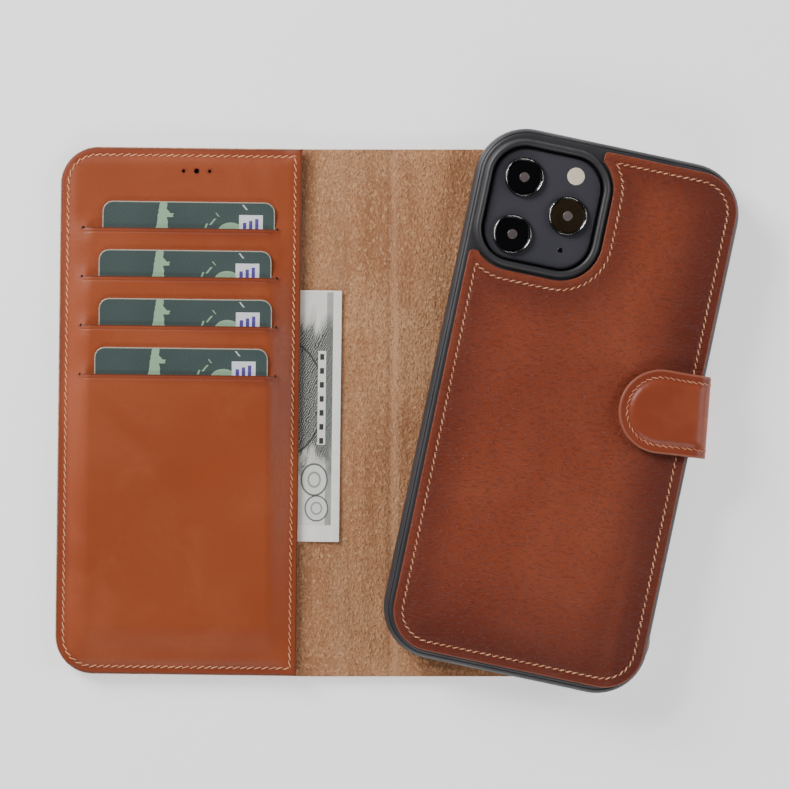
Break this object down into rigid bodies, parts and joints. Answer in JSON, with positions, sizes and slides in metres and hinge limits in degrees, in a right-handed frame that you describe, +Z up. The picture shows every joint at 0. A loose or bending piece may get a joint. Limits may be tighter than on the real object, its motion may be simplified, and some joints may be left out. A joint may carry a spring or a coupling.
{
  "type": "phone wallet case",
  "caption": "Open leather phone wallet with a card-pocket cover, folding spine, wrap-over magnet strap and a detachable phone case on the rear cover.",
  "frame": {"origin": "centre of the rear cover's underside, where the open wallet rests", "axes": "+Z up out of the suede lining, +Y towards the wallet's top edge (the camera end), +X from the front cover towards the strap"},
  "size_m": [0.214, 0.1758, 0.0171],
  "materials": {
    "outer_leather": "waxed full-grain leather",
    "panel_leather": "waxed full-grain leather",
    "case_leather": "burnished glossy leather",
    "strap_leather": "burnished leather",
    "suede": "brushed suede",
    "divider_cloth": "thin woven lining",
    "board": "raw board",
    "steel": "plated",
    "shell": "satin flexible shell",
    "phone_metal": "satin",
    "camera_plate": "polished",
    "lens_ring": "polished ring",
    "dark_glass": "polished",
    "flash": "diffusing lens",
    "card": "laminated print",
    "note_paper": "printed paper"
  },
  "bodies": {
    "rear_cover": {"rear_outer_leather": "outer_leather", "rear_stiffener_board": "board", "rear_magnet_1": "steel", "rear_magnet_2": "steel", "rear_magnet_3": "steel", "rear_magnet_4": "steel", "rear_suede_lining": "suede", "strap_base": "strap_leather"},
    "spine": {"spine_outer_leather": "outer_leather", "spine_suede_lining": "suede"},
    "front_cover": {"front_outer_leather": "outer_leather", "front_stiffener_board": "board", "front_closure_plate": "steel", "front_suede_lining": "suede", "pocket_backing": "suede", "card_panel": "panel_leather", "pocket_divider_1": "divider_cloth", "pocket_divider_2": "divider_cloth", "pocket_divider_3": "divider_cloth"},
    "card_1": {"card_1": "card"},
    "card_2": {"card_2": "card"},
    "card_3": {"card_3": "card"},
    "card_4": {"card_4": "card"},
    "banknote": {"banknote": "note_paper"},
    "strap_side": {"strap_side_lining": "strap_leather", "strap_side_leather": "strap_leather"},
    "strap_tip": {"strap_tip_lining": "strap_leather", "strap_tip_leather": "strap_leather", "strap_magnet": "steel"},
    "phone_case": {"case_shell": "shell", "case_steel_plate": "steel", "case_back_leather": "case_leather", "phone_body": "phone_metal", "phone_screen": "dark_glass", "camera_plateau": "camera_plate", "lens_ring_1": "lens_ring", "lens_ring_2": "lens_ring", "lens_ring_3": "lens_ring", "lens_glass_1": "dark_glass", "lens_glass_2": "dark_glass", "lens_glass_3": "dark_glass", "camera_flash": "flash", "microphone_grille": "dark_glass"},
    "side_button": {"side_button": "shell"},
    "volume_up_button": {"volume_up_button": "shell"},
    "volume_down_button": {"volume_down_button": "shell"},
    "ring_switch": {"ring_switch": "phone_metal"}
  },
  "joints": [
    {"name": "spine_fold", "type": "hinge", "parent": "rear_cover", "child": "spine", "pos_m": [-0.042, 0, 0.0028], "axis": [0, 1, 0], "range_deg": [-90, 90]},
    {"name": "cover_fold", "type": "hinge", "parent": "spine", "child": "front_cover", "pos_m": [-0.062, 0, 0.0028], "axis": [0, 1, 0], "range_deg": [-90, 90], "deforming": ["banknote"]},
    {"name": "strap_lower_fold", "type": "hinge", "parent": "rear_cover", "child": "strap_side", "pos_m": [0.05893, -0.00164, 0], "axis": [0.1392, 0.9903, 0], "range_deg": [0, 90]},
    {"name": "strap_upper_fold", "type": "hinge", "parent": "strap_side", "child": "strap_tip", "pos_m": [0.05893, -0.00164, 0.0163], "axis": [0.1392, 0.9903, 0], "range_deg": [0, 90]},
    {"name": "case_slide", "type": "slide", "parent": "rear_cover", "child": "phone_case", "axis": [0.2079, 0.9781, 0], "range_m": [0, 0.2]},
    {"name": "card_1_slide", "type": "slide", "parent": "front_cover", "child": "card_1", "axis": [0.0122, 0.9999, 0.0091], "range_m": [0, 0.078]},
    {"name": "card_2_slide", "type": "slide", "parent": "front_cover", "child": "card_2", "axis": [0.0122, 0.9997, 0.0204], "range_m": [0, 0.078]},
    {"name": "card_3_slide", "type": "slide", "parent": "front_cover", "child": "card_3", "axis": [0.0122, 0.9994, 0.0317], "range_m": [0, 0.078]},
    {"name": "card_4_slide", "type": "slide", "parent": "front_cover", "child": "card_4", "axis": [0.0122, 0.999, 0.043], "range_m": [0, 0.078]},
    {"name": "banknote_slide", "type": "slide", "parent": "front_cover", "child": "banknote", "axis": [0.9999, -0.0122, 0], "range_m": [0, 0.055]},
    {"name": "side_button_press", "type": "slide", "parent": "phone_case", "child": "side_button", "axis": [0.9781, -0.2079, 0], "range_m": [0, 0.0004], "stiffness_N_per_m": 600},
    {"name": "volume_up_press", "type": "slide", "parent": "phone_case", "child": "volume_up_button", "axis": [-0.9781, 0.2079, 0], "range_m": [0, 0.0004], "stiffness_N_per_m": 600},
    {"name": "volume_down_press", "type": "slide", "parent": "phone_case", "child": "volume_down_button", "axis": [-0.9781, 0.2079, 0], "range_m": [0, 0.0004], "stiffness_N_per_m": 600},
    {"name": "ring_switch_slide", "type": "slide", "parent": "phone_case", "child": "ring_switch", "axis": [0.2079, 0.9781, 0], "range_m": [0, 0.001]}
  ]
}
